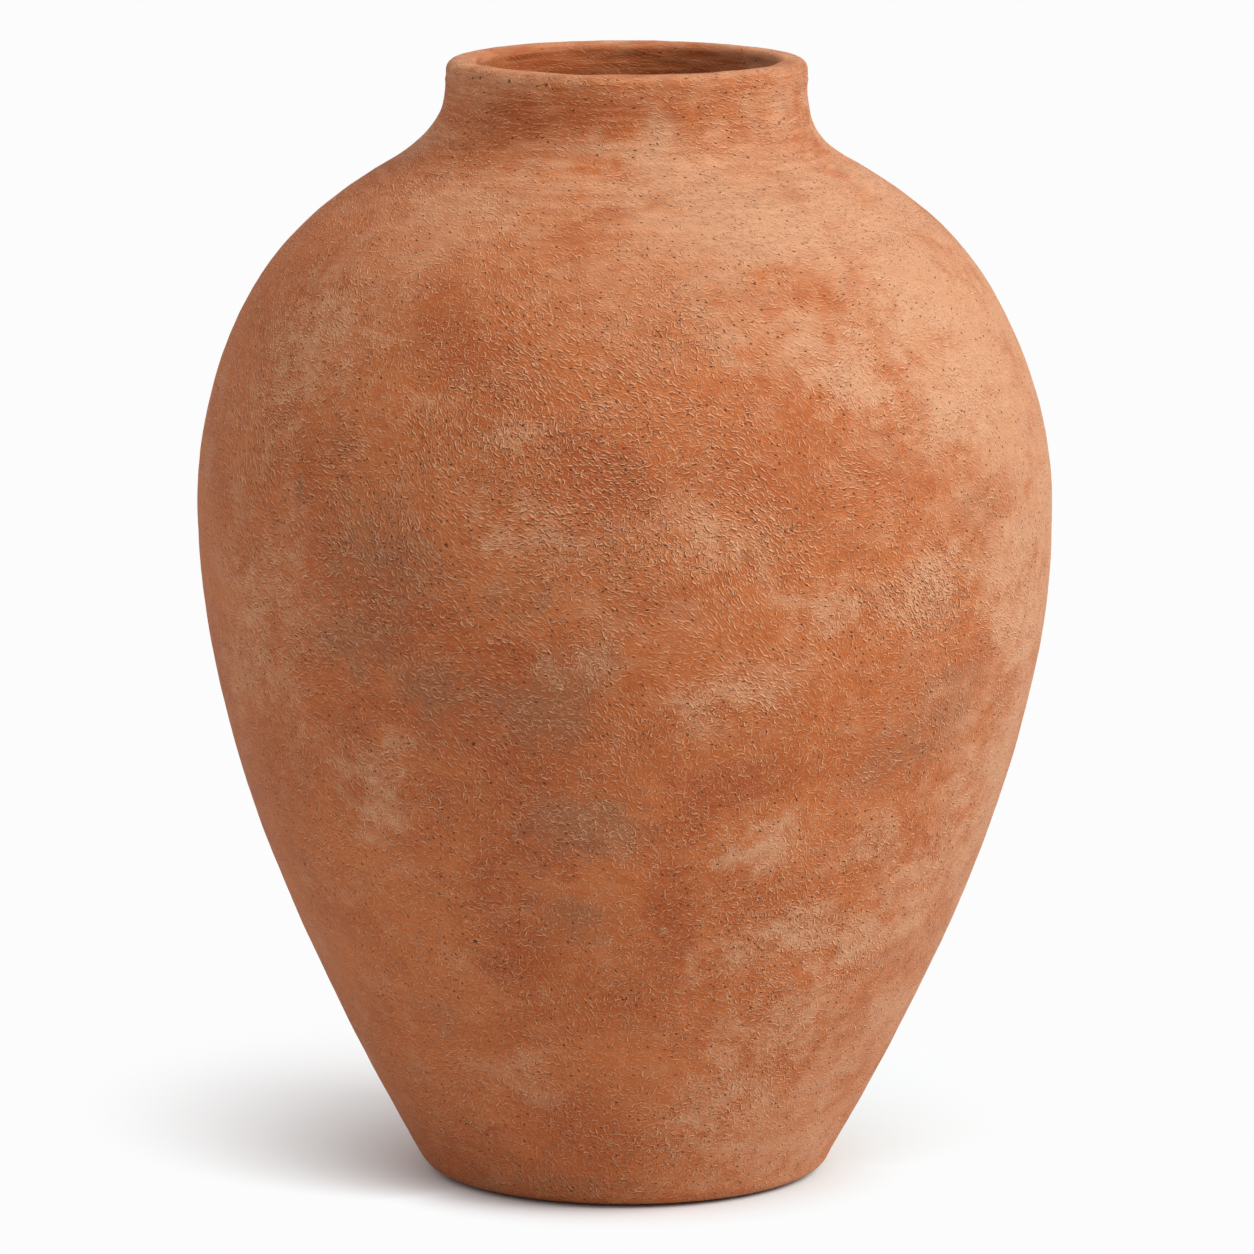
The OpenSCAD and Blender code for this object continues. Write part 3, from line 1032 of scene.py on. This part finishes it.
# Colours of the slip, the lining and the felt, dark to pale, linear
SLIP_COLOURS = ((0.30, 0.09, 0.035, 1), (0.46, 0.155, 0.07, 1))
LINING_COLOURS = ((0.13, 0.04, 0.018, 1), (0.27, 0.095, 0.045, 1))
FELT_COLOURS = ((0.09, 0.06, 0.045, 1), (0.24, 0.17, 0.13, 1))

# Sizes and depths of their texture, in millimetres
SLIP_GRAIN = 2.5
SLIP_DEPTH = 0.2
STROKE_SIZE = 2.2
STROKE_DEPTH = 0.15
POOL_SIZE = 60
FIBRE_SIZE = 0.5
FIBRE_DEPTH = 0.4


def slip_clay():
    """Joining slip: finer and redder than the body, with shrinkage specks."""
    shader = Shader("slip")
    place = shader.place()
    grain = shader.noise(place, SLIP_GRAIN, 3.0)
    colour = shader.mix(grain, *SLIP_COLOURS)
    return shader.finish(colour, shader.ramp(grain, 0.3, 0.7, 0.7, 0.9), shader.bump(grain, SLIP_DEPTH))


def sealing_coat():
    """Brushed sealing coat: dark, satin, with the brush's level strokes."""
    shader = Shader("lining")
    place = shader.place()
    strokes = shader.noise(shader.vector("MULTIPLY", place, (0.05, 0.05, 1)), STROKE_SIZE, 3.0)
    pools = shader.math("MULTIPLY", shader.noise(place, POOL_SIZE, 2.0), 0.4)
    colour = shader.mix(shader.math("MULTIPLY_ADD", strokes, 0.6, pools), *LINING_COLOURS)
    roughness = shader.ramp(strokes, 0.3, 0.7, 0.3, 0.5)
    return shader.finish(colour, roughness, shader.bump(strokes, STROKE_DEPTH))


def pressed_felt():
    """Pressed wool felt: tangled short fibres."""
    shader = Shader("felt")
    place = shader.place()
    fibres = shader.noise(shader.vector("MULTIPLY", place, (1, 0.35, 1)), FIBRE_SIZE, 4.0, 0.7)
    crossed = shader.noise(shader.vector("MULTIPLY", place, (0.35, 1, 1)), FIBRE_SIZE, 4.0, 0.7)
    tangle = shader.math("MAXIMUM", fibres, crossed)
    colour = shader.mix(shader.ramp(tangle, 0.4, 0.75), *FELT_COLOURS)
    roughness = shader.ramp(tangle, 0.4, 0.75, 0.85, 1.0)
    return shader.finish(colour, roughness, shader.bump(tangle, FIBRE_DEPTH))


def wall_piece(skin, material, node, outside, inside, low_z, high_z):
    """One thrown section: skin outside and inside, a groove on top and a tongue below."""
    out, inn = skin.leg(outside), skin.leg(inside)
    solid = Solid()
    solid.ring([
        out,
        land(out.points[-1], groove_line(high_z), inn.points[0]),
        inn,
        land(inn.points[-1], tongue_line(low_z)[::-1], out.points[0]),
    ], closed=True)
    return solid.piece(node, "terracotta", material)


def rim_piece(skin, material):
    """The coil that finishes the lip, on its tongue."""
    over = skin.leg("rim")
    solid = Solid()
    under = land(over.points[-1], tongue_line(RIM_SEAM_Z)[::-1], over.points[0])
    solid.ring([over, under], closed=True)
    return solid.piece("rim_coil", "terracotta", material)


def pad_centres():
    turns = [2 * math.pi * i / PAD_COUNT for i in range(PAD_COUNT)]
    return [(PAD_RING_R * math.cos(t), PAD_RING_R * math.sin(t)) for t in turns]


def circle(centre, radius, z):
    turns = [2 * math.pi * i / PAD_SEGMENTS for i in range(PAD_SEGMENTS)]
    return [(centre[0] + radius * math.cos(t), centre[1] + radius * math.sin(t), z) for t in turns]


def base_piece(skin, material):
    """The slab: rounded foot edge, groove for the first section, and the pads' seats underneath."""
    side = skin.leg("foot_edge", "foot_out")
    floor_row = skin.leg("lower_in").points[-1]
    solid = Solid()
    seat = land(side.points[-1], groove_line(BASE_SEAM_Z), floor_row)
    bottom, top = solid.ring([side, seat], closed=False)
    solid.flat([top], (0, 0, 1))
    outline = [bottom]
    for centre in pad_centres():
        edge = solid.loose(circle(centre, PAD_D / 2 + PAD_GAP, UNDER_Z))
        roof = solid.loose(circle(centre, PAD_D / 2 + PAD_GAP, PAD_T))
        inward = [(centre[0] - x, centre[1] - y, 0) for x, y, _ in circle(centre, 1, 0)]
        solid.wall(roof, edge, inward)
        solid.flat([roof[::-1]], (0, 0, -1))
        outline.append(edge)
    order = [i for loop in outline for i in loop]
    loops = [[Vector(solid.points[i][:2]) for i in loop] for loop in outline]
    triangles = [[order[i] for i in t] for t in geometry.tessellate_polygon(loops)]
    solid.flat([downward(solid, t) for t in triangles], (0, 0, -1))
    return solid.piece("base_disc", "terracotta", material)


def downward(solid, triangle):
    """The triangle's corners in the order that makes it face down."""
    a, b, c = (np.array(solid.points[i]) for i in triangle)
    return triangle if np.cross(b - a, c - a)[2] < 0 else triangle[::-1]


def hollow_line(inset):
    """Hollow of the inner corner, from the floor up to the wall, set in by a distance."""
    a = np.array([inner_r(BASE_SEAM_Z)[0] - CORNER_LEG, BASE_SEAM_Z + inset])
    b = np.array([skin_r(BASE_SEAM_Z, WALL_T + inset)[0], BASE_SEAM_Z + inset])
    c = np.array([skin_r(CORNER_TOP_Z, WALL_T + inset)[0], CORNER_TOP_Z])
    t = np.linspace(0, 1, HOLLOW_POINTS)[:, None]
    return (1 - t) ** 2 * a + 2 * t * (1 - t) * b + t**2 * c


def smooth_strip(line):
    points = leaned(turned(line))
    return Strip(points, normals_of(points))


def flat_strip(line):
    return Strip(leaned(turned(np.array(line))))


def coil_piece(material):
    """The coil pressed into the inner corner at the floor."""
    face = hollow_line(0)[::-1]
    corner = (inner_r(BASE_SEAM_Z)[0], BASE_SEAM_Z)
    solid = Solid()
    solid.ring([smooth_strip(face), flat_strip([face[-1], corner, face[0]])], closed=True)
    return solid.piece("corner_coil", "terracotta", material)


def lining_line(inset):
    """One side of the sealing coat, from its top edge down the wall and over the corner to the floor."""
    z = np.linspace(NECK_SEAM_Z, CORNER_TOP_Z, LINING_POINTS)
    wall = np.column_stack([skin_r(z, WALL_T + inset), z])
    return np.vstack([wall, hollow_line(inset)[::-1][1:]])


def lining_piece(material):
    """The sealing coat, a thin skin over the floor, the corner coil and the wall."""
    face, back = lining_line(LINING_T), lining_line(0)
    solid = Solid()
    strips = [smooth_strip(back[::-1]), flat_strip([back[0], face[0]]), smooth_strip(face)]
    under, over = solid.ring(strips, closed=False)
    solid.flat([over], (0, 0, 1))
    solid.flat([under[::-1]], (0, 0, -1))
    return solid.piece("inner_lining", "lining", material)


def slip_piece(node, z, material):
    """Ring of slip between the groove below and the tongue above."""
    line = np.vstack([tongue_line(z), groove_line(z)[::-1], tongue_line(z)[:1]])
    solid = Solid()
    solid.ring([flat_strip(line)], closed=True)
    return solid.piece(node, "slip", material)


def pads_piece(material):
    """Four felt discs with soft edges."""
    solid = Solid()
    for centre in pad_centres():
        r = PAD_D / 2
        heights = [0, PAD_EDGE_R, PAD_T - PAD_EDGE_R, PAD_T]
        radii = [r - PAD_EDGE_R, r, r, r - PAD_EDGE_R]
        loops = [solid.loose(circle(centre, radius, z)) for radius, z in zip(radii, heights)]
        outward = [(x - centre[0], y - centre[1], 0) for x, y, _ in circle(centre, 1, 0)]
        for low, high in zip(loops, loops[1:]):
            solid.wall(low, high, outward)
        solid.flat([loops[0][::-1]], (0, 0, -1))
        solid.flat([loops[-1]], (0, 0, 1))
    return solid.piece("floor_pads", "felt", material)


def build_vase():
    skin = Skin()
    clay, slip = terracotta(), slip_clay()
    base_piece(skin, clay)
    coil_piece(clay)
    wall_piece(skin, clay, "lower_wall", "lower_out", "lower_in", BASE_SEAM_Z, BELLY_SEAM_Z)
    wall_piece(skin, clay, "belly_wall", "belly_out", "belly_in", BELLY_SEAM_Z, SHOULDER_SEAM_Z)
    wall_piece(skin, clay, "shoulder_wall", "shoulder_out", "shoulder_in", SHOULDER_SEAM_Z, NECK_SEAM_Z)
    wall_piece(skin, clay, "neck_collar", "neck_out", "neck_in", NECK_SEAM_Z, RIM_SEAM_Z)
    rim_piece(skin, clay)
    seams = {"base_slip": BASE_SEAM_Z, "belly_slip": BELLY_SEAM_Z, "shoulder_slip": SHOULDER_SEAM_Z,
             "neck_slip": NECK_SEAM_Z, "rim_slip": RIM_SEAM_Z}
    for node, z in seams.items():
        slip_piece(node, z, slip)
    lining_piece(sealing_coat())
    pads_piece(pressed_felt())


def seen_directly(shader):
    """1 for camera, mirror and glass rays, which see the white stage; 0 for light that bounces."""
    path = shader.node("LightPath", {}).node
    direct = shader.math("MAXIMUM", path.outputs["Is Camera Ray"], path.outputs["Is Glossy Ray"])
    return shader.math("MAXIMUM", direct, path.outputs["Is Transmission Ray"])


def white_fade(shader):
    """0 at the foot, rising to 1 away from it, latest behind and to the left, where the shadow runs."""
    place = shader.place()
    reach = shader.length(place)
    way = shader.node("SeparateXYZ", {0: shader.vector("NORMALIZE", place)}).node.outputs
    span = shader.math("MULTIPLY_ADD", way["Y"], FADE_BACK, FADE_SPAN)
    lit = shader.math("MAXIMUM", way["X"], 0.0)
    span = shader.math("MAXIMUM", shader.math("MULTIPLY_ADD", lit, -FADE_LIT, span), FADE_LEAST)
    return shader.ramp(shader.math("DIVIDE", shader.math("SUBTRACT", reach, FLAT_R * MM), span), 0, 1)


def build_floor():
    """Plain pale floor that takes the shadow and fades to the backdrop's white around the vase."""
    half = FLOOR_WIDTH / 2
    mesh = bpy.data.meshes.new("floor")
    corners = [(-half, -half, 0), (half, -half, 0), (half, half, 0), (-half, half, 0)]
    mesh.from_pydata(corners, [], [(0, 1, 2, 3)])
    floor = bpy.data.objects.new("floor", mesh)
    bpy.context.scene.collection.objects.link(floor)
    shader = Shader("floor")
    seen = seen_directly(shader)
    fade = shader.math("MULTIPLY", seen, white_fade(shader))
    # Cooler floor colour on the lit side, painted to cancel the vase's reddish reflected light there
    lit = shader.ramp(shader.part(shader.place(), "X"), 0.0, FLAT_R * MM)
    tone = shader.mix(seen, (FLOOR_TONE,) * 3 + (1,), shader.mix(lit, FLOOR_SEEN, FLOOR_LIT))
    shader.set(shader.surface.inputs["Base Color"], shader.mix(fade, tone, (0, 0, 0, 1)))
    shader.surface.inputs["Emission Color"].default_value = (WHITE,) * 3 + (1,)
    shader.set(shader.surface.inputs["Emission Strength"], fade)
    shader.surface.inputs["Roughness"].default_value = 1
    shader.surface.inputs["Specular IOR Level"].default_value = 0
    mesh.materials.append(shader.material)


def build_light():
    """One broad soft key lamp and a white surround that is brighter overhead."""
    lamp = bpy.data.lights.new("key", "SUN")
    lamp.energy = KEY_STRENGTH
    lamp.angle = math.radians(KEY_SPREAD)
    key = bpy.data.objects.new("key", lamp)
    bpy.context.scene.collection.objects.link(key)
    level = cos(KEY_HEIGHT)
    towards = Vector((sin(KEY_AZIMUTH) * level, -cos(KEY_AZIMUTH) * level, sin(KEY_HEIGHT)))
    key.rotation_mode = "QUATERNION"
    key.rotation_quaternion = towards.to_track_quat("Z", "Y")
    world = bpy.data.worlds.new("surround")
    bpy.context.scene.world = world
    world.use_nodes = True
    tree = world.node_tree
    background = tree.nodes["Background"]
    background.inputs["Color"].default_value = (1, 1, 1, 1)
    way = tree.nodes.new("ShaderNodeTexCoord")
    height = tree.nodes.new("ShaderNodeSeparateXYZ")
    fill = tree.nodes.new("ShaderNodeMapRange")
    fill.inputs["To Min"].default_value = FILL_STRENGTH
    fill.inputs["To Max"].default_value = TOP_STRENGTH
    path = tree.nodes.new("ShaderNodeLightPath")
    strength = tree.nodes.new("ShaderNodeMapRange")
    strength.inputs["To Max"].default_value = WHITE
    tree.links.new(way.outputs["Generated"], height.inputs[0])
    tree.links.new(height.outputs["Z"], fill.inputs["Value"])
    tree.links.new(path.outputs["Is Camera Ray"], strength.inputs["Value"])
    tree.links.new(fill.outputs[0], strength.inputs["To Min"])
    tree.links.new(strength.outputs[0], background.inputs["Strength"])


def build_camera():
    lens = bpy.data.cameras.new("camera")
    lens.lens = CAMERA_LENS
    lens.sensor_width = CAMERA_SENSOR
    lens.clip_end = CAMERA_REACH
    camera = bpy.data.objects.new("camera", lens)
    bpy.context.scene.collection.objects.link(camera)
    camera.location = (CAMERA_X, CAMERA_Y, CAMERA_Z)
    camera.rotation_euler = (math.radians(CAMERA_TILT), 0, 0)
    bpy.context.scene.camera = camera


bpy.context.scene.view_settings.view_transform = "Standard"
build_camera()
build_light()
build_floor()
build_vase()
